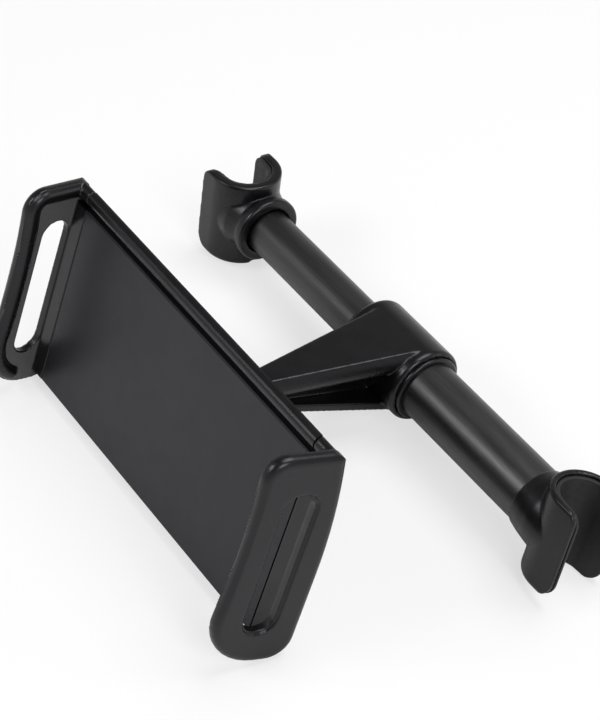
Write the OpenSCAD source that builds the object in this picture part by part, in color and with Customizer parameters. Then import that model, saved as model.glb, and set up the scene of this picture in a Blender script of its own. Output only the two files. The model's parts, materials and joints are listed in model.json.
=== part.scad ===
// Tablet mount for the back of a car seat: a telescopic bar grips the two headrest posts,
// an arm turns on the bar, and a ball joint carries a holder with two sprung sliding jaws.
// Millimetres. The origin is on the bar's axis in the middle of the arm's collar,
// +X runs along the bar, -Y points at the holder and +Z is up.

/* [Bar] */
// Outer diameter of the larger tube
outer_tube_d = 20; // [19:0.5:21]
// Outer diameter of the thinner tube
inner_tube_d = 16; // [15:0.5:16.5]
// Wall of both tubes
tube_wall = 1.2; // [1:0.1:1.4]
// How far the thinner tube reaches into the larger one
tube_overlap = 20; // [18:1:26]
// Length of the split sleeve that locks the bar
lock_sleeve_len = 10; // [8:1:12]
// Length of the guide bush inside the larger tube's mouth
mouth_bush_len = 8; // [6:1:10]

/* [Hooks] */
// From the arm's middle to the right headrest post
right_post_x = 89.8; // [84:0.1:100]
// From the arm's middle to the left headrest post
left_post_x = 93.8; // [92:0.1:110]
// Lean of the right hook
right_lean = 10.5; // [0:0.5:20]
// Lean of the left hook
left_lean = 3.5; // [0:0.5:20]
// Outer radius of the right hook's C
right_hook_r = 11.5; // [11.4:0.1:12.4]
// Outer radius of the left hook's C
left_hook_r = 12.8; // [12:0.1:13.2]
// Radius of the headrest post that the pad grips
post_r = 8; // [7.5:0.05:8.1]
// Thickness of the rubber pad in the channel
pad_t = 1.4; // [1.2:0.05:1.5]
// How far the pad's top lies below the hook's rim
pad_recess = 1; // [0.4:0.1:1.5]
// Height of the right hook above the bar's axis
right_hook_up = 15.9; // [14:0.1:18]
// Height of the left hook above the bar's axis
left_hook_up = 15.5; // [14:0.1:18]
// Depth of the hook below the bar's axis
hook_down = 17.6; // [16:0.1:20]
// Reach of the right hook's prongs past the post's centre
right_prong = 8; // [6:0.1:9]
// Reach of the left hook's prongs past the post's centre
left_prong = 6.4; // [6:0.1:9]
// Length of the left hook's collar, from the post's centre
left_collar_len = 17.8; // [17:0.1:20]
// Length of the right hook's cone, from the post's centre
right_cone_len = 17.4; // [16:0.1:19]
// Length of the right hook's spigot inside the tube
spigot_len = 12; // [10:1:14]

/* [Arm] */
// Outer diameter of the arm's collar
collar_d = 26.6; // [26:0.2:28]
// Length of the arm's collar
collar_len = 31.5; // [30:0.5:36]
// Rise of the arm's top face towards the holder
arm_top_rise = 3.7; // [2:0.1:6]
// Rise of the arm's bottom rail towards the holder
arm_rail_rise = 16.8; // [14:0.5:19]
// Half width of the arm beside the collar
arm_half_w = 11.4; // [10:0.1:12]
// Half width of the arm at its tip
arm_tip_half_w = 3.4; // [3:0.1:4.5]
// From the bar's axis to the arm's tip
arm_reach = 53; // [50:1:58]
// Thickness of the arm's top flange
flange_t = 7.4; // [6:0.2:8]
// Thickness of the arm's bottom rail
rail_t = 2.8; // [2.4:0.2:3.4]
// Thickness of the web between the arm's two pockets
web_t = 3; // [2.4:0.2:3.4]

/* [Ball joint] */
// Diameter of the ball
ball_d = 17; // [16:0.5:18]
// From the bar's axis to the ball's centre
ball_reach = 68.1; // [67:0.1:74]
// Height of the ball's centre above the bar's axis
ball_rise = 12.7; // [10:0.1:14]
// Diameter of the neck behind the ball
neck_d = 8; // [7:0.5:8]
// Outer diameter of the lock nut
nut_d = 33; // [32:0.5:36]
// Thickness of the nylon seats around the ball
seat_t = 1.05; // [0.9:0.05:1.1]

/* [Holder] */
// Lean of the holder
holder_lean = 15.5; // [8:0.5:20]
// Width of the holder between its two seams
holder_w = 124.4; // [118:0.2:130]
// Top of the flat front plate above the holder's middle
plate_up = 31; // [30:0.5:32]
// Bottom of the flat front plate below the holder's middle
plate_down = 33.9; // [32:0.1:36]
// Thickness of the front plate
plate_t = 2.2; // [2:0.1:2.6]
// Depth of the holder behind the plate's face
holder_t = 8.8; // [8.6:0.1:9.6]
// Wall of the rear shell
shell_wall = 1.6; // [1.4:0.1:1.8]
// From the plate's face to the ball's centre
ball_depth = 20; // [19.6:0.1:22]
// Diameter of the rolled rail along the top edge
rail_d = 5; // [4:0.2:5.4]
// Radius of the shell's gently curved back
back_curve_r = 190; // [160:5:260]

/* [Jaws] */
// From the seam to the jaw's wall
jaw_strip = 6.3; // [5.6:0.1:8]
// Thickness of the jaw's wall
jaw_wall = 3.5; // [3.2:0.1:4]
// How far the jaw's wall leans in over the tablet
jaw_lean = 8.5; // [6:0.5:10]
// Reach of the jaw in front of the plate
jaw_depth = 20; // [18:0.2:22]
// Jaw above the holder's middle
jaw_up = 37.4; // [37.2:0.1:38]
// How much higher the jaw's top edge is at the back
jaw_top_rise = 0.8; // [0.7:0.1:1]
// Jaw below the holder's middle
jaw_down = 37.5; // [36:0.1:39]
// Diameter of the rounded bead along the jaw's front and top edges
bead_d = 5; // [4:0.2:5.4]
// Length of the slot in the jaw's wall
slot_len = 50; // [40:0.5:53]
// Width of the slot in the jaw's wall
slot_w = 10.2; // [8:0.2:10.4]
// Travel of each jaw
jaw_travel = 32; // [24:1:34]
// Width of each steel tongue
tongue_w = 16; // [12:0.5:18]
// Thickness of each steel tongue
tongue_t = 1.5; // [1.2:0.1:1.6]
// Diameter of each tension spring
spring_d = 3.4; // [3:0.1:3.6]

/* [Fits] */
// Radial clearance of every turning or sliding fit
run_fit = 0.05; // [0.03:0.01:0.08]
// Clearance between faces that pass each other
face_gap = 0.3; // [0.2:0.05:0.4]

/* [Hidden] */

$fn = 64;
eps = 0.01;
plastic = [0.16, 0.16, 0.17];
plate_grey = [0.23, 0.23, 0.24];
rubber_grey = [0.1, 0.1, 0.11];
tube_grey = [0.3, 0.3, 0.31];
steel_grey = [0.62, 0.63, 0.65];
nylon_white = [0.85, 0.85, 0.82];

// Bar: where its pieces start and end along X
outer_r = outer_tube_d / 2;
inner_r = inner_tube_d / 2;
outer_bore_r = outer_r - tube_wall;
inner_bore_r = inner_r - tube_wall;
collar_r = collar_d / 2;
shoulder_in = 4.25;
tube_left = -collar_len / 2 + shoulder_in;
tube_right = right_post_x - right_cone_len;
inner_right = tube_left + tube_overlap;
pad_r = post_r + pad_t;
channel_back = 1.2;
inner_left = -left_post_x + pad_r + channel_back;
flange_r = outer_r + 1.2;
flange_len = 1.8;
ring_r = outer_r + 1.7;
ring_left = collar_len / 2 - 1.8;
ring_len = 2.9;
plug_tail_r = 5;
plug_in_len = 9;
plug_cap_len = 1.6;
screw_shank_r = 1.4;
screw_head_r = 2.6;
screw_head_t = 1.3;
spigot_bore_r = 5;
right_screw_x = tube_right - spigot_len / 2;
screw_in = 4.2;
left_screw_x = -left_post_x + left_collar_len - screw_in;
anchor_len = 9;

// Hooks: one side's own sizes, right when side is above nought
function hook_r(side) = side > 0 ? right_hook_r : left_hook_r;
function hook_up(side) = side > 0 ? right_hook_up : left_hook_up;
function prong(side) = side > 0 ? right_prong : left_prong;

// Arm: heights of its top face and its rail's underside at a distance from the bar
top_z = collar_r / cos(arm_top_rise) - eps;
rail_z = -(collar_r - 1.3);
function arm_top(d) = top_z + d * tan(arm_top_rise);
function arm_bottom(d) = rail_z + d * tan(arm_rail_rise);
function arm_half(d) = arm_half_w + (arm_tip_half_w - arm_half_w) * (d - 4) / (arm_reach - 4);
tip_mid_z = (arm_top(arm_reach) + arm_bottom(arm_reach)) / 2;
neck_rise = atan2(ball_rise - tip_mid_z, ball_reach - arm_reach);
ball_r = ball_d / 2;
neck_r = neck_d / 2;
seat_in_r = ball_r + run_fit;
seat_out_r = seat_in_r + seat_t;
cup_r = seat_out_r + run_fit;
cup_half_angle = 55;
ring_open_angle = 62;
nut_open_r = cup_r * sin(58);

// Holder: x to the right, y to the back, z up the plate, origin on the plate's face.
// Its back curves forward above curve_z.
holder_x = holder_w / 2;
boss_r = nut_d / 2 - 4;
boss_end = ball_depth - 0.2;
nut_start = holder_t + 1;
nut_end = ball_depth + 7;
rail_mid_z = plate_up + 1.8 + rail_d / 2;
rail_mid_y = 1.5;
shell_low = -plate_down - 1.2;
curve_z = -5;
function back_y(z) = holder_t - pow(max(0, z - curve_z), 2) / (2 * back_curve_r);
tongue_y = plate_t + 1;
tongue_z = 15;
tongue_end = jaw_travel + 12;
spring_z = 3.6;
spring_y = plate_t + 3.1;
spring_post_r = 0.8;
post_x = 50;
tab_x = 20;
screw_z = 27.5;
screw_x = holder_x - 8;
screw_seat_y = holder_t - 4.3;

// Jaw: its wall and slot
wall_in = holder_x + jaw_strip;
wall_out = wall_in + jaw_wall;
slot_mid_z = -0.6;
slot_mid_n = slot_w / 2 + 0.3;
jaw_gap = 0.25;
jaw_screw_seat = holder_t - 2.4;
bead_r = bead_d / 2;
bead_in = bead_r + 0.4;
bead_x = wall_out - bead_in;
jaw_top_r = 7.5;
jaw_low_r = 17;
jaw_back_r = 8;

module along_x(x = 0) {
    translate([x, 0, 0]) rotate([0, 90, 0]) children();
}

module at_holder() {
    translate([0, -ball_reach, ball_rise])
        rotate([-holder_lean, 0, 0])
            translate([0, -ball_depth, 0]) children();
}

module at_ball() {
    translate([0, ball_depth, 0]) rotate([-90, 0, 0]) children();
}

module mirrored(side) {
    if (side < 0) mirror([1, 0, 0]) children();
    else children();
}

function arc(cx, cy, r, from, to, steps = 6) =
    [for (i = [0:steps]) [cx + r * cos(from + (to - from) * i / steps),
                          cy + r * sin(from + (to - from) * i / steps)]];

// The bar

module outer_tube() {
    color(tube_grey) along_x(tube_left) difference() {
        cylinder(r = outer_r, h = tube_right - tube_left);
        translate([0, 0, -1]) cylinder(r = outer_bore_r, h = tube_right - tube_left + 2);
        screw_hole(right_screw_x - tube_left, right_lean, 0.2);
    }
}

// A hole across the bar for a hook's screw, entered from below, with its clearance in radius
module screw_hole(x, lean, clear) {
    translate([0, 0, x]) rotate([0, 0, -lean]) rotate([0, 90, 0])
        cylinder(r = screw_shank_r + clear, h = 2 * outer_r);
}

module mouth_bush() {
    color(nylon_white) along_x(tube_left) difference() {
        union() {
            translate([0, 0, -flange_len]) cylinder(r = flange_r, h = flange_len);
            cylinder(r = outer_bore_r - run_fit / 2, h = mouth_bush_len);
        }
        translate([0, 0, -5]) cylinder(r = inner_r + run_fit, h = mouth_bush_len + 10);
    }
}

module stop_ring() {
    round_r = 0.8;
    color(plastic) along_x(ring_left) rotate_extrude() polygon(concat(
        [[outer_r + 0.02, 0], [ring_r, 0]],
        arc(ring_r - round_r, ring_len - round_r, round_r, 0, 90),
        [[outer_r + 0.02, ring_len]]));
}

module inner_tube() {
    color(tube_grey) along_x(inner_left) difference() {
        cylinder(r = inner_r, h = inner_right - inner_left);
        translate([0, 0, -1]) cylinder(r = inner_bore_r, h = inner_right - inner_left + 2);
        screw_hole(left_screw_x - inner_left, left_lean, 0.2);
    }
}

// Plug in the thinner tube's end with the spindle that carries the lock sleeve
module lock_plug() {
    spindle_len = lock_sleeve_len + 2 * face_gap;
    color(plastic) along_x(inner_right) {
        translate([0, 0, -plug_in_len]) cylinder(r = inner_bore_r - 0.02, h = plug_in_len);
        cylinder(r = plug_tail_r, h = spindle_len);
        translate([0, 0, spindle_len]) cylinder(r = inner_bore_r, h = plug_cap_len);
    }
}

module lock_sleeve() {
    slit = 1.4;
    color(nylon_white) along_x(inner_right + face_gap) difference() {
        cylinder(r = outer_bore_r - run_fit, h = lock_sleeve_len);
        translate([0, 0, -1]) cylinder(r = plug_tail_r + run_fit, h = lock_sleeve_len + 2);
        translate([0, -slit / 2, -1]) cube([outer_r, slit, lock_sleeve_len + 2]);
    }
}

// The hooks: x outwards along the bar, z up the headrest post

module at_hook(side) {
    post_x = side > 0 ? right_post_x : -left_post_x;
    lean = side > 0 ? right_lean : left_lean;
    translate([post_x, 0, 0]) rotate([-lean, 0, 0]) mirrored(side) children();
}

// Side view of the C, with the free ends of its prongs rounded
module hook_side_view(side, top_in = 0, front_in = 0) {
    top_r = 4;
    low_r = 7;
    top = hook_up(side) - top_in;
    reach = prong(side) - front_in;
    back = -left_hook_r - right_hook_r;
    rotate([90, 0, 0]) linear_extrude(2 * left_hook_r + 2, center = true) polygon(concat(
        [[back, -hook_down - 1], [back, top]],
        arc(reach - top_r, top - top_r, top_r, 90, 0),
        arc(reach - low_r, -hook_down + low_r, low_r, 0, -90),
        [[reach - low_r, -hook_down - 1]]));
}

// Half of the C's upright section, with its rim and foot rounded
module hook_section(side) {
    round_top = 0.8;
    round_low = 2.4;
    r = hook_r(side);
    polygon(concat(
        [[0, -hook_down], [r - round_low, -hook_down]],
        arc(r - round_low, -hook_down + round_low, round_low, -90, 0),
        arc(r - round_top, hook_up(side) - round_top, round_top, 0, 90),
        [[0, hook_up(side)]]));
}

// Round at the back with two straight prongs
module hook_c(side) {
    intersection() {
        union() {
            rotate_extrude() hook_section(side);
            for (flip = [0, 1]) mirror([0, flip, 0])
                rotate([90, 0, 90]) linear_extrude(hook_r(side)) hook_section(side);
        }
        hook_side_view(side);
    }
}

// The room for the rubber pad, or the pad itself when it is made smaller by a clearance
module pad_room(gap = 0) {
    low = -hook_down - 1;
    tall = left_hook_up + right_hook_up + hook_down;
    translate([0, 0, low]) channel(pad_r - gap, 0.6, tall);
}

// An upright channel, round at the back, that widens on each side towards the prongs' ends
module channel(r, wider, tall) {
    out = left_hook_r + 1;
    mouth = r + wider * out / right_prong;
    linear_extrude(tall) {
        circle(r = r);
        polygon([[0, -r], [out, -mouth], [out, mouth], [0, r]]);
    }
}

module hook_body(side) {
    difference() {
        union() {
            hook_c(side);
            children();
        }
        pad_room();
    }
}

module right_hook() {
    tip_r = outer_r + 0.6;
    swell_r = right_hook_r + 0.5;
    side_r = right_hook_r - 0.1;
    spigot_r = outer_bore_r - run_fit;
    color(plastic) at_hook(1) difference() {
        hook_body(1) {
            along_x() rotate_extrude() polygon([[0, -right_cone_len], [tip_r, -right_cone_len],
                [tip_r + 0.8, -right_cone_len + 4], [swell_r, -9], [swell_r, -6], [side_r, 0], [0, 0]]);
            along_x(-right_cone_len - spigot_len) cylinder(r = spigot_r, h = spigot_len + 1);
        }
        along_x(-right_cone_len - spigot_len - 1) cylinder(r = spigot_bore_r, h = spigot_len + 1);
        along_x() screw_hole(right_screw_x - right_post_x, 0, 0.05);
    }
}

module left_hook() {
    lip_r = 12;
    neck_r = lip_r - 1.3;
    side_r = left_hook_r - 0.6;
    round_r = 1.1;
    mouth_r = inner_r + 0.9;
    color(plastic) at_hook(-1) difference() {
        hook_body(-1) along_x() rotate_extrude() polygon(concat(
            [[0, -left_collar_len], [lip_r - round_r, -left_collar_len]],
            arc(lip_r - round_r, -left_collar_len + round_r, round_r, -90, 0),
            arc(lip_r - round_r, -left_collar_len + 3, round_r, 0, 70),
            [[neck_r, -left_collar_len + 4.8], [neck_r + 0.3, -11.5], [side_r, -8], [side_r, 0], [0, 0]]));
        along_x(-left_collar_len - 1)
            cylinder(r = inner_r + 0.03, h = left_collar_len + 1 - pad_r - channel_back);
        along_x(-left_collar_len - eps) cylinder(r1 = mouth_r, r2 = inner_r, h = 1.6);
        along_x(-left_collar_len + screw_in) rotate([0, 90, 0]) {
            cylinder(r = screw_shank_r + 0.2, h = 2 * outer_r);
            translate([0, 0, inner_r + 1.4]) cylinder(r = screw_head_r + 0.2, h = outer_r);
        }
    }
}

// Plug inside the thinner tube that the left hook's screw bites into
module left_anchor() {
    color(plastic) along_x(inner_left + 0.5) difference() {
        cylinder(r = inner_bore_r - 0.02, h = anchor_len);
        screw_hole(left_screw_x - inner_left - 0.5, left_lean, 0.05);
    }
}

// Rubber pad: a little below the rim, and standing out a little in front of the prongs
module post_pad(side) {
    proud = 0.3;
    foot_in = 0.35;
    low = -hook_down + foot_in;
    tall = hook_up(side) + hook_down;
    color(rubber_grey) at_hook(side) difference() {
        intersection() {
            pad_room(0.04);
            hook_side_view(side, pad_recess, -proud);
            translate([-pad_r, -left_hook_r, low]) cube([2 * left_hook_r, 2 * left_hook_r, tall]);
        }
        translate([0, 0, low - 1]) channel(post_r, 1, tall + 2);
    }
}

module left_post_pad() {
    post_pad(-1);
}

module right_post_pad() {
    post_pad(1);
}

// A pan head screw pointing up, its head's underside at a depth below the bar's axis
module hook_screw(x, lean, seat, shank) {
    color(steel_grey) translate([x, 0, 0]) rotate([-lean, 0, 0]) translate([0, 0, -seat]) difference() {
        union() {
            cylinder(r = screw_shank_r, h = shank);
            translate([0, 0, -screw_head_t]) cylinder(r1 = screw_head_r - 0.5, r2 = screw_head_r,
                h = screw_head_t);
        }
        translate([0, 0, -screw_head_t - eps]) cylinder(r = 1.1, h = 0.9, $fn = 6);
    }
}

module left_hook_screw() {
    hook_screw(left_screw_x, left_lean, inner_r + 1.4, inner_r - 0.6);
}

module right_hook_screw() {
    hook_screw(right_screw_x, right_lean, outer_r + 0.02, outer_r - spigot_bore_r - 0.4);
}

// The arm

// Cross-section of the top flange: flat on top, with a full round bulge on each side
module flange_slab(d, along = 0.4) {
    half = arm_half(d);
    bulge = 1.6;
    steps = 6;
    side = [for (i = [0:steps]) [half + bulge * sin(180 * i / steps), -flange_t * i / steps]];
    translate([0, -d, arm_top(d)]) rotate([90, 0, 0]) linear_extrude(along) polygon(concat(
        side, [for (i = [steps:-1:0]) [-side[i][0], side[i][1]]]));
}

module rail_slab(d, along = 0.4) {
    half = arm_half(d) + 0.2;
    translate([-half, -d - along, arm_bottom(d)]) cube([2 * half, along, rail_t / cos(arm_rail_rise)]);
}

module arm_solid() {
    bar_side = 0;
    post_in = 10;
    post_out = 12;
    hull() {
        flange_slab(bar_side);
        flange_slab(arm_reach);
    }
    hull() {
        rail_slab(post_in);
        rail_slab(arm_reach);
    }
    // web between the two pockets, and the post beside the collar
    rotate([90, 0, -90]) linear_extrude(web_t, center = true) polygon([
        [bar_side, arm_top(bar_side) - 1], [arm_reach, arm_top(arm_reach) - 1],
        [arm_reach, arm_bottom(arm_reach) + 1], [post_in, arm_bottom(post_in) + 1]]);
    rotate([90, 0, -90]) linear_extrude(2 * arm_half(post_out), center = true) polygon([
        [bar_side, arm_top(bar_side) - 1], [post_out - 2, arm_top(post_out) - 1],
        [post_out, arm_bottom(post_out) + 1], [post_in, arm_bottom(post_in) + 1]]);
}

module arm_tip() {
    tip_h = arm_top(arm_reach) - arm_bottom(arm_reach);
    hull() {
        translate([-arm_tip_half_w, -arm_reach - 0.4, arm_bottom(arm_reach)])
            cube([2 * arm_tip_half_w, 0.4, tip_h]);
        at_neck(ball_reach - arm_reach - 3) rotate([90, 0, 0]) cylinder(r = neck_r, h = 0.5, $fn = 32);
    }
}

// On the neck's axis, a distance from the ball's centre towards the bar
module at_neck(d) {
    translate([0, -ball_reach, ball_rise]) rotate([-neck_rise, 0, 0]) translate([0, d, 0]) children();
}

module arm() {
    round_r = 1.8;
    half = collar_len / 2;
    color(plastic) difference() {
        union() {
            along_x() rotate_extrude() polygon(concat(
                [[0, -half]], arc(collar_r - round_r, -half + round_r, round_r, -90, 0),
                arc(collar_r - round_r, half - round_r, round_r, 0, 90), [[0, half]]));
            arm_solid();
            arm_tip();
            at_neck(0) rotate([-90, 0, 0]) cylinder(r = neck_r, h = ball_reach - arm_reach);
            at_neck(0) sphere(ball_r);
        }
        along_x(-half - 1) cylinder(r = outer_r + run_fit, h = collar_len + 2);
        along_x(-half - 1) cylinder(r = flange_r + 0.2, h = 1 + shoulder_in + 0.1);
        along_x(ring_left - 0.1) cylinder(r = ring_r + 0.2, h = collar_len);
    }
}

// The ball joint

// Nylon cup between the front of the ball and the holder's socket
module ball_cup() {
    color(nylon_white) at_holder() at_ball() intersection() {
        difference() {
            sphere(seat_out_r);
            sphere(seat_in_r);
        }
        mirror([0, 0, 1]) cylinder(r1 = 0, r2 = 12 * tan(cup_half_angle), h = 12);
    }
}

// Nylon ring between the back of the ball and the nut
module seat_ring() {
    color(nylon_white) at_holder() at_ball() difference() {
        sphere(seat_out_r);
        sphere(seat_in_r);
        mirror([0, 0, 1]) translate([0, 0, -0.3]) cylinder(r = 2 * seat_out_r, h = 2 * seat_out_r);
        cylinder(r1 = 0, r2 = 12 * tan(ring_open_angle), h = 12);
    }
}

module lock_nut() {
    flutes = 14;
    flute_r = 2.2;
    edge = 1;
    nut_r = nut_d / 2;
    start = nut_start - ball_depth;
    end = nut_end - ball_depth;
    color(plastic) at_holder() at_ball() difference() {
        rotate_extrude() polygon([[0, start], [nut_r - edge, start], [nut_r, start + edge],
            [nut_r, end - 2 * edge], [nut_r - 2 * edge, end], [0, end]]);
        translate([0, 0, start - 1]) cylinder(r = boss_r + 2 * run_fit, h = 1 - start + 0.1);
        sphere(cup_r);
        cylinder(r = nut_open_r, h = end + 1);
        translate([0, 0, end - 1.6]) cylinder(r1 = nut_open_r, r2 = nut_open_r + 1.8, h = 1.7);
        for (i = [0:flutes - 1]) rotate([0, 0, 360 * (i + 0.5) / flutes])
            translate([nut_r + 1.4, 0, start - 1]) cylinder(r = flute_r, h = end - start + 2);
    }
}

// The holder

// Rounded outline of the holder seen from the side: y to the back, z up
module shell_side_view() {
    low_r = 6;
    rise = rail_mid_z - curve_z;
    steps = 10;
    polygon(concat(
        [[plate_t + 0.02, shell_low], [plate_t + 0.02, plate_up + 0.6], [rail_mid_y - 0.6, plate_up + 1.4]],
        arc(rail_mid_y, rail_mid_z, rail_d / 2, -120, -270, 9),
        [for (i = [1:steps]) [back_y(rail_mid_z - rise * i / steps), rail_mid_z - rise * i / steps]],
        arc(holder_t - low_r, shell_low + low_r, low_r, 0, -90)));
}

module tongue_room(side) {
    z = side * tongue_z;
    translate([-holder_x - 1, tongue_y - face_gap, z - tongue_w / 2 - face_gap])
        cube([holder_w + 2, tongue_t + 2 * face_gap, tongue_w + 2 * face_gap]);
}

module screw_places() {
    for (x = [-screw_x, screw_x], z = [-screw_z, screw_z]) translate([x, 0, z]) children();
}

module rear_shell() {
    color(plastic) at_holder() difference() {
        union() {
            slab(-holder_x, holder_x) shell_side_view();
            at_ball() translate([0, 0, holder_t - ball_depth - 1])
                cylinder(r = boss_r, h = boss_end - holder_t + 1);
            at_ball() translate([0, 0, holder_t - ball_depth - 1])
                cylinder(r1 = boss_r + 2.4, r2 = boss_r, h = 1 + nut_start - holder_t - face_gap);
        }
        // hollow behind the plate, with the bosses, posts and tongue rails left standing
        difference() {
            intersection() {
                translate([-holder_x + shell_wall, plate_t - 1, shell_low + shell_wall])
                    cube([holder_w - 2 * shell_wall, holder_t, plate_up - shell_low - 2 * shell_wall]);
                translate([0, -shell_wall, 0]) slab(-holder_x, holder_x) shell_side_view();
            }
            screw_places() rotate([-90, 0, 0]) cylinder(r = 3.9, h = holder_t);
            for (side = [-1, 1]) {
                translate([-side * post_x, spring_y - 1, -side * spring_z]) rotate([-90, 0, 0])
                    cylinder(r = spring_post_r, h = holder_t);
                for (edge = [-1, 1])
                    translate([-holder_x, tongue_y + tongue_t + face_gap,
                               side * tongue_z + edge * (tongue_w / 2 - 2) - 0.8])
                        cube([holder_w, holder_t, 1.6]);
            }
        }
        for (side = [-1, 1]) tongue_room(side);
        at_ball() sphere(cup_r);
        screw_places() rotate([-90, 0, 0]) {
            cylinder(r = 1.3, h = holder_t + 1);
            translate([0, 0, screw_seat_y]) cylinder(r = 2.8, h = 4);
        }
    }
}

module front_plate() {
    rib_h = tongue_y - plate_t - face_gap;
    edge = 0.5;
    color(plate_grey) at_holder() {
        for (side = [-1, 1], z = [-1, 1])
            translate([-holder_x + 4, plate_t, side * tongue_z + z * (tongue_w / 2 - 2) - 0.6])
                cube([holder_w - 8, rib_h, 1.2]);
        difference() {
            slab(-holder_x, holder_x) polygon([
                [edge, -plate_down], [0, -plate_down + edge], [0, plate_up - edge], [edge, plate_up],
                [plate_t, plate_up], [plate_t, -plate_down]]);
            screw_places() translate([0, plate_t - 1.4, 0]) rotate([-90, 0, 0]) cylinder(r = 1, h = 3);
        }
    }
}

module cover_screws() {
    shank = screw_seat_y - plate_t + 1.2;
    color(steel_grey) at_holder() screw_places() translate([0, screw_seat_y, 0]) rotate([90, 0, 0])
        difference() {
            union() {
                cylinder(r = 1 - 0.02, h = shank);
                translate([0, 0, -1.4]) cylinder(r1 = 2.2, r2 = 2.5, h = 1.4);
            }
            translate([0, 0, -1.5]) cylinder(r = 1, h = 0.9, $fn = 6);
        }
}

// The jaws: modelled on the right, mirrored for the left. Their tongues pass each other inside the
// holder: the left one runs above the middle and the right one below it.

// Circles of the rim seen from the side, as y and z: a round top corner, a hollow front edge and a
// large round lower corner, each one running smoothly into the next.
top_c = [-jaw_depth + jaw_top_r, jaw_up - jaw_top_r];
low_c = [-jaw_depth + jaw_low_r, -jaw_down + jaw_low_r];
hollow_r = 220;
rim_steps = 10;
corner_d = norm(top_c - low_c);
corner_dir = atan2(top_c[1] - low_c[1], top_c[0] - low_c[0]);
low_reach = hollow_r + jaw_low_r;
top_reach = hollow_r + jaw_top_r;
low_turn = acos((pow(low_reach, 2) + pow(corner_d, 2) - pow(top_reach, 2)) / (2 * low_reach * corner_d));
low_dir = corner_dir + low_turn;
hollow_c = low_c + low_reach * [cos(low_dir), sin(low_dir)];
top_dir = 360 + atan2(hollow_c[1] - top_c[1], hollow_c[0] - top_c[0]);

// The jaw's outline, drawn in by an inset
function jaw_outline(inset) = let (top = jaw_up - inset, low = -jaw_down + inset, fall = top - 1.5 - curve_z)
    concat(
        arc(hollow_c[0], hollow_c[1], hollow_r + inset, low_dir - 180, top_dir - 180, rim_steps),
        arc(top_c[0], top_c[1], jaw_top_r - inset, top_dir, 90, rim_steps),
        [[back_y(top) - inset, top + jaw_top_rise]],
        [for (i = [0:8]) [back_y(top - 1.5 - fall * i / 8) - inset, top - 1.5 - fall * i / 8]],
        arc(holder_t - jaw_back_r, low - inset + jaw_back_r, jaw_back_r - inset, 0, -90),
        arc(low_c[0], low_c[1], jaw_low_r - inset, -90, low_dir - 360, rim_steps));

// Skin over rings of equal length, clockwise as seen from beyond the last one
module loft(rings) {
    n = len(rings[0]);
    last = len(rings) - 1;
    polyhedron(
        points = [for (ring = rings, p = ring) p],
        faces = concat(
            [[for (j = [n - 1:-1:0]) j], [for (j = [0:n - 1]) last * n + j]],
            [for (i = [0:last - 1], j = [0:n - 1]) let (k = (j + 1) % n)
                [i * n + j, i * n + k, (i + 1) * n + k, (i + 1) * n + j]]));
}

// The jaw's flat wall, its outer edge rounded
module jaw_plate() {
    edge = bead_r - 0.2;
    sections = concat([[wall_in, 0]],
        [for (a = [0:22.5:90]) [wall_out - edge + edge * sin(a), edge * (1 - cos(a))]]);
    loft([for (at = sections) [for (p = jaw_outline(at[1])) [at[0], p[0], p[1]]]]);
}

// A side view, drawn as y and z, extruded between two x
module slab(x0, x1) {
    translate([x0, 0, 0]) rotate([90, 0, 90]) linear_extrude(x1 - x0) children();
}

module slot_outline(grow = 0) {
    half = (slot_len - slot_w) / 2;
    translate([-slot_mid_n, slot_mid_z]) polygon(concat(
        arc(0, half, slot_w / 2 + grow, 0, 180, 10),
        arc(0, -half, slot_w / 2 + grow, 180, 360, 10)));
}

// Points along an arc of the bead's middle line: y, z and the direction that is outwards there
function bead_arc(centre, r, from, to, turn = 0) =
    [for (i = [0:rim_steps]) let (a = from + (to - from) * i / rim_steps)
        [centre[0] + r * cos(a), centre[1] + r * sin(a), a + turn]];

// One ring of the bead, moved along it and drawn in by an angle to close its rounded end
function bead_ring(at, ahead = 0) =
    let (r = bead_r * cos(ahead), step = bead_r * sin(ahead), out = at[2])
        [for (t = [0:22.5:337.5]) [bead_x + r * cos(t),
            at[0] + r * sin(t) * cos(out) + step * cos(out - 90),
            at[1] + r * sin(t) * sin(out) + step * sin(out - 90)]];

// Round bead that runs up the front and along the top edge
module jaw_bead() {
    low_end = -115;
    top_turn = atan2(jaw_top_rise, back_y(jaw_up) - top_c[0]);
    run = -top_c[0];
    path = concat(
        bead_arc(low_c, jaw_low_r - bead_in, low_end, low_dir - 360),
        bead_arc(hollow_c, hollow_r + bead_in, low_dir - 180, top_dir - 180, 180),
        bead_arc(top_c, jaw_top_r - bead_in, top_dir, 90 + top_turn),
        [[run * (1 - cos(top_turn)), jaw_up - bead_in + run * sin(top_turn), 90 + top_turn]]);
    loft(concat(
        [for (a = [-80:20:-20]) bead_ring(path[0], a)],
        [for (i = [0:len(path) - 1]) if (i % (rim_steps + 1) > 0 || i == 0 || i == len(path) - 1)
            bead_ring(path[i])],
        [for (a = [20:20:80]) bead_ring(path[len(path) - 1], a)]));
}

// Strip beside the seam, flush with the plate, with its own piece of the rail
module jaw_base() {
    slab(holder_x + jaw_gap, wall_in + 1.6) {
        shell_side_view();
        translate([0, -plate_down]) square([plate_t + 1, plate_up + plate_down]);
    }
}

module jaw_screw_places(side) {
    for (dz = [-4.5, 4.5]) translate([holder_x + jaw_strip / 2, 0, -side * tongue_z + dz]) children();
}

// Turns the wall in about its foot, so that it leans over the tablet
module leaned() {
    translate([wall_in, 0, 0]) rotate([0, 0, -jaw_lean]) translate([-wall_in, 0, 0]) children();
}

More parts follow.
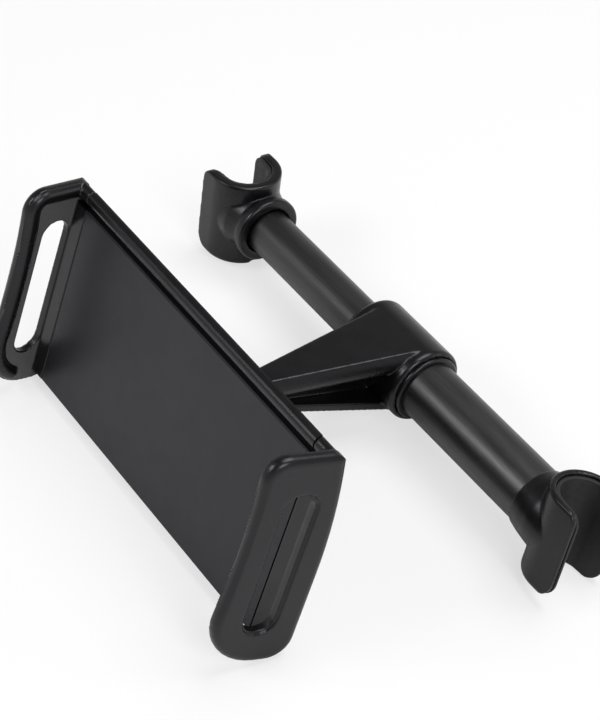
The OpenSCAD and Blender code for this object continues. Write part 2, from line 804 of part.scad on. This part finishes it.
module jaw(side) {
    difference() {
        union() {
            jaw_base();
            leaned() {
                jaw_plate();
                jaw_bead();
            }
        }
        leaned() {
            slab(wall_in - 2, wall_out + 1) slot_outline();
            slab(wall_out - 0.8, wall_out + 1) slot_outline(0.8);
        }
        translate([holder_x - 1, tongue_y, -side * tongue_z - tongue_w / 2])
            cube([jaw_strip, tongue_t, tongue_w]);
        jaw_screw_places(side) rotate([-90, 0, 0]) {
            translate([0, 0, tongue_y - 1]) cylinder(r = 1.3, h = holder_t);
            translate([0, 0, jaw_screw_seat]) cylinder(r = 2.7, h = 4);
        }
    }
}

module left_jaw() {
    color(plastic) at_holder() mirror([1, 0, 0]) jaw(-1);
}

module right_jaw() {
    color(plastic) at_holder() jaw(1);
}

// Steel tongue of the right jaw, with the tab that its spring pulls on
module tongue(side) {
    outer_end = holder_x + jaw_strip - 1;
    z = -side * tongue_z;
    low = side > 0 ? z - tongue_w / 2 : spring_z - 1.4;
    translate([0, tongue_y, 0]) difference() {
        union() {
            translate([-tongue_end, face_gap / 10, z - tongue_w / 2 + 0.05])
                cube([outer_end + tongue_end, tongue_t - face_gap / 5, tongue_w - 0.1]);
            translate([tab_x - 1.2, 0.03, low])
                cube([5, tongue_t - 0.06, tongue_z + tongue_w / 2 - spring_z + 1.4 - 0.05]);
            translate([tab_x, 0.5, -side * spring_z]) rotate([-90, 0, 0])
                cylinder(r = spring_post_r, h = spring_y + 0.6 - tongue_y);
        }
        jaw_screw_places(side) rotate([-90, 0, 0]) translate([0, 0, -1]) cylinder(r = 1, h = tongue_t + 2);
    }
}

module left_tongue() {
    color(steel_grey) at_holder() mirror([1, 0, 0]) tongue(-1);
}

module right_tongue() {
    color(steel_grey) at_holder() tongue(1);
}

module jaw_screws(side) {
    color(steel_grey) jaw_screw_places(side) translate([0, jaw_screw_seat, 0]) rotate([90, 0, 0])
        difference() {
            union() {
                cylinder(r = 0.98, h = jaw_screw_seat - tongue_y - 0.2);
                translate([0, 0, -1.2]) cylinder(r1 = 2.1, r2 = 2.4, h = 1.2);
            }
            translate([0, 0, -1.3]) cylinder(r = 0.9, h = 0.9, $fn = 6);
        }
}

module left_jaw_screws() {
    at_holder() mirror([1, 0, 0]) jaw_screws(-1);
}

module right_jaw_screws() {
    at_holder() jaw_screws(1);
}

// Closely wound tension spring from the tongue's tab to a post in the shell, drawn without its bore
module spring(side) {
    wire = 0.6;
    loop_r = spring_d / 2 - wire;
    from = -post_x + loop_r + wire / 4;
    to = tab_x - loop_r - wire / 4;
    turns = floor((to - from) / (2 * wire));
    pitch = (to - from) / turns;
    bumps = [for (i = [0:turns - 1], a = [0:3])
        [spring_d / 2 - wire / 2 + wire / 2 * sin(45 * a + 22), (i + (a + 0.5) / 4) * pitch]];
    length = turns * pitch;
    color(steel_grey) translate([0, spring_y, -side * spring_z]) {
        translate([from, 0, 0]) rotate([0, 90, 0]) rotate_extrude() polygon(concat(
            [[0, 0]], bumps, [[0, length]]));
        for (x = [-post_x, tab_x]) translate([x, 0, 0]) rotate([90, 0, 0])
            rotate_extrude() translate([loop_r, 0]) circle(r = wire / 2, $fn = 16);
    }
}

module left_spring() {
    at_holder() mirror([1, 0, 0]) spring(-1);
}

module right_spring() {
    at_holder() spring(1);
}

outer_tube();
mouth_bush();
stop_ring();
inner_tube();
lock_plug();
lock_sleeve();
left_anchor();
left_hook();
left_post_pad();
left_hook_screw();
right_hook();
right_post_pad();
right_hook_screw();
arm();
ball_cup();
seat_ring();
lock_nut();
rear_shell();
front_plate();
cover_screws();
left_jaw();
left_tongue();
left_jaw_screws();
left_spring();
right_jaw();
right_tongue();
right_jaw_screws();
right_spring();
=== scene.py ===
"""Looks of the headrest tablet mount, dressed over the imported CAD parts. Metres throughout."""

import json
import math

import bpy
from mathutils import Matrix, Vector


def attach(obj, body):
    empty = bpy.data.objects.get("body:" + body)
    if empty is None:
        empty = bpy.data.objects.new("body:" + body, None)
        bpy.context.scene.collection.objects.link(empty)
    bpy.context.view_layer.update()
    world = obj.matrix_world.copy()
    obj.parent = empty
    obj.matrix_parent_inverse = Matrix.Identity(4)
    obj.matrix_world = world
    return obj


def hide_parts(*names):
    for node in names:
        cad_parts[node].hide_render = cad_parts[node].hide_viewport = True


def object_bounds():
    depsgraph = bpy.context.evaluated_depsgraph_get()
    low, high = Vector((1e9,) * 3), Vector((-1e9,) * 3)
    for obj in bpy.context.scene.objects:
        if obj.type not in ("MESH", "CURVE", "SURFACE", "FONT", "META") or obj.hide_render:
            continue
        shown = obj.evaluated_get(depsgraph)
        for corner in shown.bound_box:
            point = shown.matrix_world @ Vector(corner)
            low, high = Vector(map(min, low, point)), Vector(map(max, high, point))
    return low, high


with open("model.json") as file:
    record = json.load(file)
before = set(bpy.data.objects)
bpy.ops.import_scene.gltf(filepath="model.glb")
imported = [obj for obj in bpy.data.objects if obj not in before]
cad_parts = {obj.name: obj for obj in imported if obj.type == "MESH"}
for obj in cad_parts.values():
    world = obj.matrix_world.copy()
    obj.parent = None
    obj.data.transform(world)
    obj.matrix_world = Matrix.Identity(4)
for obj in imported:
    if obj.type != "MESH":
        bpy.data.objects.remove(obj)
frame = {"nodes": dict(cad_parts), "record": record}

MM = 0.001
NODES = frame["nodes"]
BODY_OF = {n: b for b, members in frame["record"]["behaviour"]["bodies"].items() for n in members}
cad_low, cad_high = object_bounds()

# ---------------------------------------------------------------- the part's own places
# The holder's own frame: its origin on the plate's face, y to the back and z up the plate
HOLDER_LEAN = math.radians(15.5)
BALL = Vector((0, -68.1 * MM, 12.7 * MM))
BALL_DEPTH = 20 * MM
HOLDER = (Matrix.Translation(BALL) @ Matrix.Rotation(-HOLDER_LEAN, 4, "X")
          @ Matrix.Translation((0, -BALL_DEPTH, 0)))
JAW_LEAN = math.radians(8.5)
WALL_IN = 68.5 * MM  # from the middle to a jaw's inner face
RAIL_END = (0.6 * MM, 34.4 * MM, 3.3 * MM)  # y, z and radius of a jaw's corner behind the rail

# ---------------------------------------------------------------- colours, as linear values
BLACK = (0.0035, 0.0035, 0.0040)
PLATE = (0.0090, 0.0089, 0.0100)
RUBBER = (0.010, 0.010, 0.011)
TUBE = (0.085, 0.085, 0.086)
# paler tone painted on a jaw's inner face: painted reflected light, not the plastic's own colour
INNER_FACE_PAINTED_LIGHT = (0.09, 0.09, 0.09)
STEEL = (0.42, 0.42, 0.43)
NYLON = (0.62, 0.61, 0.57)
# the duller gloss that goes with the painted reflected light on a jaw's inner face
INNER_FACE_PAINTED_LIGHT_ROUGHNESS = 0.5


# ---------------------------------------------------------------- materials
NOISE_LOW, NOISE_HIGH = 0.3, 0.7  # nearly all of a noise texture's values lie between these
INWARD = 0.94  # how squarely a face looks at the middle to be one that grips the tablet
WALL_SLACK = 0.3 * MM  # how far under the wall's inner plane a point still counts as the wall


class Nodes:
    """A material's node tree, with short calls for what every material here uses."""

    def __init__(self, name):
        self.material = bpy.data.materials.new(name)
        self.material.use_nodes = True
        self.tree = self.material.node_tree
        self.shader = self.tree.nodes["Principled BSDF"]
        self.place = self.add("ShaderNodeTexCoord").outputs["Object"]

    def add(self, kind, **settings):
        node = self.tree.nodes.new(kind)
        for name, value in settings.items():
            setattr(node, name, value)
        return node

    def link(self, a, b):
        self.tree.links.new(a, b)

    def set(self, **values):
        for name, value in values.items():
            self.shader.inputs[name.replace("_", " ")].default_value = value

    def noise(self, size, detail=2.0, stretch=(1, 1, 1)):
        """Noise whose grains are about size metres across."""
        place = self.add("ShaderNodeMapping")
        place.inputs["Scale"].default_value = stretch
        self.link(self.place, place.inputs["Vector"])
        made = self.add("ShaderNodeTexNoise")
        made.inputs["Scale"].default_value = 1 / size
        made.inputs["Detail"].default_value = detail
        self.link(place.outputs["Vector"], made.inputs["Vector"])
        return made.outputs["Fac"]

    def spread(self, value, low, high):
        """Noise spread out between two values."""
        made = self.add("ShaderNodeMapRange")
        made.inputs["From Min"].default_value = NOISE_LOW
        made.inputs["From Max"].default_value = NOISE_HIGH
        made.inputs["To Min"].default_value = low
        made.inputs["To Max"].default_value = high
        self.link(value, made.inputs["Value"])
        return made.outputs["Result"]

    def colour(self, value, dark, pale):
        ramp = self.add("ShaderNodeValToRGB")
        ramp.color_ramp.elements[0].color = (*dark, 1)
        ramp.color_ramp.elements[0].position = NOISE_LOW
        ramp.color_ramp.elements[1].color = (*pale, 1)
        ramp.color_ramp.elements[1].position = NOISE_HIGH
        self.link(value, ramp.inputs["Fac"])
        self.link(ramp.outputs["Color"], self.shader.inputs["Base Color"])

    def bump(self, height, depth, strength=1.0, under=None):
        """Bump of that depth in metres; under is another bump to add to."""
        made = self.add("ShaderNodeBump")
        made.inputs["Distance"].default_value = depth
        made.inputs["Strength"].default_value = strength
        self.link(height, made.inputs["Height"])
        if under:
            self.link(under, made.inputs["Normal"])
        return made.outputs["Normal"]

    def roughness(self, value):
        self.link(value, self.shader.inputs["Roughness"])

    def normal(self, value):
        self.link(value, self.shader.inputs["Normal"])


def shade(colour, by):
    return tuple(min(1, c * by) for c in colour)


def moulded(name, colour, low, high, grain=0.18 * MM, depth=0.012 * MM, tint=(1, 1, 1)):
    """Moulded plastic: a fine spark-eroded grain, faint flow marks and uneven gloss."""
    m = Nodes(name)
    m.set(Metallic=0.0, IOR=1.5, Specular_IOR_Level=0.4, Specular_Tint=(*tint, 1))
    m.colour(m.noise(14 * MM, 3), shade(colour, 0.93), shade(colour, 1.07))
    m.roughness(m.spread(m.noise(6 * MM, 4), low, high))
    waves = m.bump(m.noise(9 * MM, 1), 0.05 * MM, 0.25)
    m.normal(m.bump(m.noise(grain, 2), depth, 0.8, waves))
    return m.material


def painted_light_copy(material, colour, roughness):
    """The same plastic with a paler patch of painted reflected light and a duller gloss on a jaw's
    flat face that grips the tablet.
    """
    made = material.copy()
    made.name = material.name + "_lined"
    tree = made.node_tree

    def calc(operation, *values):
        node = tree.nodes.new("ShaderNodeMath")
        node.operation = operation
        for socket, value in zip(node.inputs, values):
            if isinstance(value, float):
                socket.default_value = value
            else:
                tree.links.new(value, socket)
        return node.outputs["Value"]

    place = tree.nodes.new("ShaderNodeTexCoord")
    spot = tree.nodes.new("ShaderNodeSeparateXYZ")
    facing = tree.nodes.new("ShaderNodeSeparateXYZ")
    tree.links.new(place.outputs["Object"], spot.inputs["Vector"])
    tree.links.new(place.outputs["Normal"], facing.inputs["Vector"])
    # place times normal along the bar is well below nought where a face looks towards the middle
    inward = calc("LESS_THAN", calc("MULTIPLY", spot.outputs["X"], facing.outputs["X"]),
                  -INWARD * WALL_IN)
    # height over the wall's inner plane, which tells the wall from the bead that stands over it
    out = HOLDER.to_3x3() @ Vector((math.cos(JAW_LEAN), -math.sin(JAW_LEAN), 0))
    plane = out.dot(HOLDER @ Vector((WALL_IN, 0, 0)))
    far = calc("ADD", calc("MULTIPLY", calc("ABSOLUTE", spot.outputs["X"]), out.x),
               calc("ADD", calc("MULTIPLY", spot.outputs["Y"], out.y),
                    calc("MULTIPLY", spot.outputs["Z"], out.z)))
    # the patch that gets the painted reflected light: faces that grip the tablet, not the bead over
    # them
    share = calc("MULTIPLY", inward, calc("GREATER_THAN", far, plane - WALL_SLACK))
    shader = tree.nodes["Principled BSDF"]
    for socket, kind, value in (("Base Color", "RGBA", (*colour, 1)),
                                ("Roughness", "FLOAT", roughness)):
        mix = tree.nodes.new("ShaderNodeMix")
        mix.data_type = kind
        a, b = [i for i in mix.inputs if i.enabled and i.name in "AB"]
        tree.links.new(share, mix.inputs["Factor"])
        tree.links.new(shader.inputs[socket].links[0].from_socket, a)
        b.default_value = value
        tree.links.new([o for o in mix.outputs if o.enabled][0], shader.inputs[socket])
    return made


def anodised(name, colour):
    """Dark anodised tube: fine drawing lines along the bar and a satin, slightly uneven gloss."""
    m = Nodes(name)
    m.set(Metallic=1.0)
    m.colour(m.noise(0.5 * MM, 4, (0.04, 1, 1)), shade(colour, 0.9), shade(colour, 1.12))
    m.roughness(m.spread(m.noise(2 * MM, 4, (0.1, 1, 1)), 0.34, 0.42))
    m.normal(m.bump(m.noise(0.12 * MM, 2, (0.02, 1, 1)), 0.004 * MM, 0.5))
    return m.material


def rubber(name, colour):
    m = Nodes(name)
    m.set(Metallic=0.0, IOR=1.5)
    m.colour(m.noise(3 * MM, 4), shade(colour, 0.85), shade(colour, 1.2))
    m.roughness(m.spread(m.noise(1.5 * MM, 3), 0.55, 0.7))
    m.normal(m.bump(m.noise(0.3 * MM, 3), 0.03 * MM, 0.6))
    return m.material


def steel(name, colour):
    m = Nodes(name)
    m.set(Metallic=1.0)
    m.colour(m.noise(1.2 * MM, 4), shade(colour, 0.85), shade(colour, 1.1))
    m.roughness(m.spread(m.noise(0.8 * MM, 4), 0.24, 0.4))
    m.normal(m.bump(m.noise(0.1 * MM, 2, (1, 6, 6)), 0.004 * MM, 0.5))
    return m.material


MATERIALS = {
    "black_plastic": moulded("black_plastic", BLACK, 0.26, 0.33, tint=(0.96, 0.95, 1)),
    "plate_plastic": moulded("plate_plastic", PLATE, 0.36, 0.43, 0.25 * MM, 0.016 * MM,
                             tint=(0.92, 0.9, 1)),
    "post_rubber": rubber("post_rubber", RUBBER),
    "tube_metal": anodised("tube_metal", TUBE),
    "steel": steel("steel", STEEL),
    "nylon": moulded("nylon", NYLON, 0.4, 0.5),
}
# black plastic with painted reflected light on the jaws' inner faces
JAW_PAINTED_LIGHT_LOOK = painted_light_copy(MATERIALS["black_plastic"], INNER_FACE_PAINTED_LIGHT, INNER_FACE_PAINTED_LIGHT_ROUGHNESS)
SLOT_OF = {s["node"]: s["material_slot"] for s in frame["record"]["subparts"]}


def paint(obj, slot, look=None):
    """Gives a piece its slot's material, or the look that stands in for it there."""
    obj.data.materials.clear()
    obj.data.materials.append(look or MATERIALS[slot])


# ---------------------------------------------------------------- rounded copies of the CAD pieces
SMOOTHING = 0.5  # how far one round of smoothing moves a point
SHARP_EDGE = math.radians(32)


def apply_modifiers(obj):
    graph = bpy.context.evaluated_depsgraph_get()
    mesh = bpy.data.meshes.new_from_object(obj.evaluated_get(graph))
    obj.modifiers.clear()
    obj.data = mesh


def round_rail_end(obj):
    """Rounds a jaw's top corner to the rail's own curve, which the solid leaves square."""
    y0, z0, r = RAIL_END
    back = HOLDER.inverted()
    for vertex in obj.data.vertices:
        p = back @ vertex.co
        dy, dz = p.y - y0, p.z - z0
        far = math.hypot(dy, dz)
        if dy > 0 and dz > 0 and far > r:
            p.y, p.z = y0 + dy * r / far, z0 + dz * r / far
            vertex.co = HOLDER @ p


def rounded_copy(node, voxel, rounds):
    """A copy of a CAD piece whose every edge is softened like a moulding's."""
    obj = bpy.data.objects.new(node + "_moulding", NODES[node].data.copy())
    bpy.context.scene.collection.objects.link(obj)
    remesh = obj.modifiers.new("remesh", "REMESH")
    remesh.mode = "VOXEL"
    remesh.voxel_size = voxel
    smooth = obj.modifiers.new("smooth", "SMOOTH")
    smooth.factor = SMOOTHING
    smooth.iterations = rounds
    apply_modifiers(obj)
    if node.endswith("_jaw"):
        round_rail_end(obj)
    obj.data.shade_smooth()
    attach(obj, BODY_OF[node])
    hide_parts(node)
    # jaws get the look with painted reflected light on their inner faces
    paint(obj, SLOT_OF[node], JAW_PAINTED_LIGHT_LOOK if node.endswith("_jaw") else None)


ROUNDED = {  # node: voxel in mm and rounds of smoothing
    "left_hook": (0.32, 9),
    "right_hook": (0.32, 9),
    "left_post_pad": (0.22, 4),
    "right_post_pad": (0.22, 4),
    "arm": (0.34, 8),
    "left_jaw": (0.3, 5),
    "right_jaw": (0.3, 5),
    "lock_nut": (0.34, 5),
}
for node, (voxel, rounds) in ROUNDED.items():
    rounded_copy(node, voxel * MM, rounds)

for node, obj in NODES.items():
    if node in ROUNDED:
        continue
    paint(obj, SLOT_OF[node])
    obj.data.shade_smooth()
    edges = obj.modifiers.new("edges", "EDGE_SPLIT")
    edges.split_angle = SHARP_EDGE


# ---------------------------------------------------------------- studio
FLOOR_Z = cad_low.z
FLOOR_HALF = 4.0
FLOOR_COLOUR = (0.80, 0.80, 0.80)
FLOOR_LIFT = 0.6  # the camera's share of plain glow in the floor
FLOOR_GLOW = 1.06
SKY_NEAR_FLOOR, SKY_OVERHEAD = 0.62, 0.16  # the world's light on the object
FADE_START, FADE_END = math.radians(12), math.radians(40)  # above the horizon
LAMPS = (  # name, place, what it aims at, size and watts
    ("top", (0.05, 0.35, 1.1), (0, 0, 0), (0.7, 0.7), 8),
    ("right", (0.9, -0.2, 0.85), (0, -0.05, 0), (0.5, 0.5), 5.5),
    ("front", (-0.32, -0.8, 0.72), (0.03, 0, 0), (0.5, 0.3), 3.5),
    ("back", (0.6, 0.9, 0.5), (0, 0, 0), (0.6, 0.5), 1.1),
)
LENS, SENSOR = 107.4, 36  # in millimetres
CAMERA_PLACE = (0.3979, -0.3376, 0.4583)
CAMERA_TURN = (0.798052, 0.374152, 0.167892, 0.441516)


def floor_material(colour, lift):
    """An ordinary pale surface to the lamps; the camera sees it lifted towards white, so that the
    object's shadow stays and only gets softer."""
    m = Nodes("floor_white")
    m.set(Roughness=0.9)
    m.shader.inputs["Base Color"].default_value = (*colour, 1)
    glow = m.add("ShaderNodeEmission")
    glow.inputs["Color"].default_value = (1, 1, 1, 1)
    glow.inputs["Strength"].default_value = FLOOR_GLOW
    path = m.add("ShaderNodeLightPath")
    share = m.add("ShaderNodeMath", operation="MULTIPLY")
    share.inputs[1].default_value = lift
    mix = m.add("ShaderNodeMixShader")
    m.link(path.outputs["Is Camera Ray"], share.inputs[0])
    m.link(share.outputs["Value"], mix.inputs["Fac"])
    m.link(m.shader.outputs["BSDF"], mix.inputs[1])
    m.link(glow.outputs["Emission"], mix.inputs[2])
    m.link(mix.outputs["Shader"], m.tree.nodes["Material Output"].inputs["Surface"])
    return m.material


def make_floor():
    mesh = bpy.data.meshes.new("floor")
    half = FLOOR_HALF
    corners = [(-half, -half, 0), (half, -half, 0), (half, half, 0), (-half, half, 0)]
    mesh.from_pydata(corners, [], [(0, 1, 2, 3)])
    floor = bpy.data.objects.new("floor", mesh)
    floor.location.z = FLOOR_Z
    bpy.context.scene.collection.objects.link(floor)
    floor.data.materials.append(floor_material(FLOOR_COLOUR, FLOOR_LIFT))


def make_world(near_floor, overhead):
    """A white sweep that is brightest near the floor and dimmer overhead. The camera sees plain
    white."""
    world = bpy.data.worlds.new("studio")
    bpy.context.scene.world = world
    world.use_nodes = True
    tree = world.node_tree
    plain = tree.nodes["Background"]
    plain.inputs["Color"].default_value = (1, 1, 1, 1)
    split = tree.nodes.new("ShaderNodeSeparateXYZ")
    tree.links.new(tree.nodes.new("ShaderNodeTexCoord").outputs["Generated"], split.inputs["Vector"])
    fade = tree.nodes.new("ShaderNodeMapRange")
    fade.interpolation_type = "SMOOTHSTEP"
    fade.inputs["From Min"].default_value = math.sin(FADE_START)
    fade.inputs["From Max"].default_value = math.sin(FADE_END)
    fade.inputs["To Min"].default_value = near_floor
    fade.inputs["To Max"].default_value = overhead
    tree.links.new(split.outputs["Z"], fade.inputs["Value"])
    tree.links.new(fade.outputs["Result"], plain.inputs["Strength"])
    white = tree.nodes.new("ShaderNodeBackground")
    white.inputs["Strength"].default_value = 1.0
    path = tree.nodes.new("ShaderNodeLightPath")
    mix = tree.nodes.new("ShaderNodeMixShader")
    tree.links.new(path.outputs["Is Camera Ray"], mix.inputs["Fac"])
    tree.links.new(plain.outputs["Background"], mix.inputs[1])
    tree.links.new(white.outputs["Background"], mix.inputs[2])
    tree.links.new(mix.outputs["Shader"], tree.nodes["World Output"].inputs["Surface"])


def softbox(name, place, aim, size, watts):
    data = bpy.data.lights.new(name, "AREA")
    data.shape = "RECTANGLE"
    data.size, data.size_y = size
    data.energy = watts
    lamp = bpy.data.objects.new(name, data)
    lamp.location = place
    lamp.rotation_mode = "QUATERNION"
    lamp.rotation_quaternion = (Vector(aim) - Vector(place)).to_track_quat("-Z", "Y")
    bpy.context.scene.collection.objects.link(lamp)


def make_camera():
    """The photograph's own camera: where it stands, which way it looks, and its slight roll."""
    data = bpy.data.cameras.new("camera")
    data.lens = LENS
    data.sensor_width = SENSOR
    data.clip_start, data.clip_end = 0.01, 50
    camera = bpy.data.objects.new("camera", data)
    camera.rotation_mode = "QUATERNION"
    camera.location = CAMERA_PLACE
    camera.rotation_quaternion = CAMERA_TURN
    bpy.context.scene.collection.objects.link(camera)
    bpy.context.scene.camera = camera


make_floor()
make_world(SKY_NEAR_FLOOR, SKY_OVERHEAD)
for lamp in LAMPS:
    softbox(*lamp)
make_camera()
bpy.context.scene.view_settings.view_transform = "Standard"
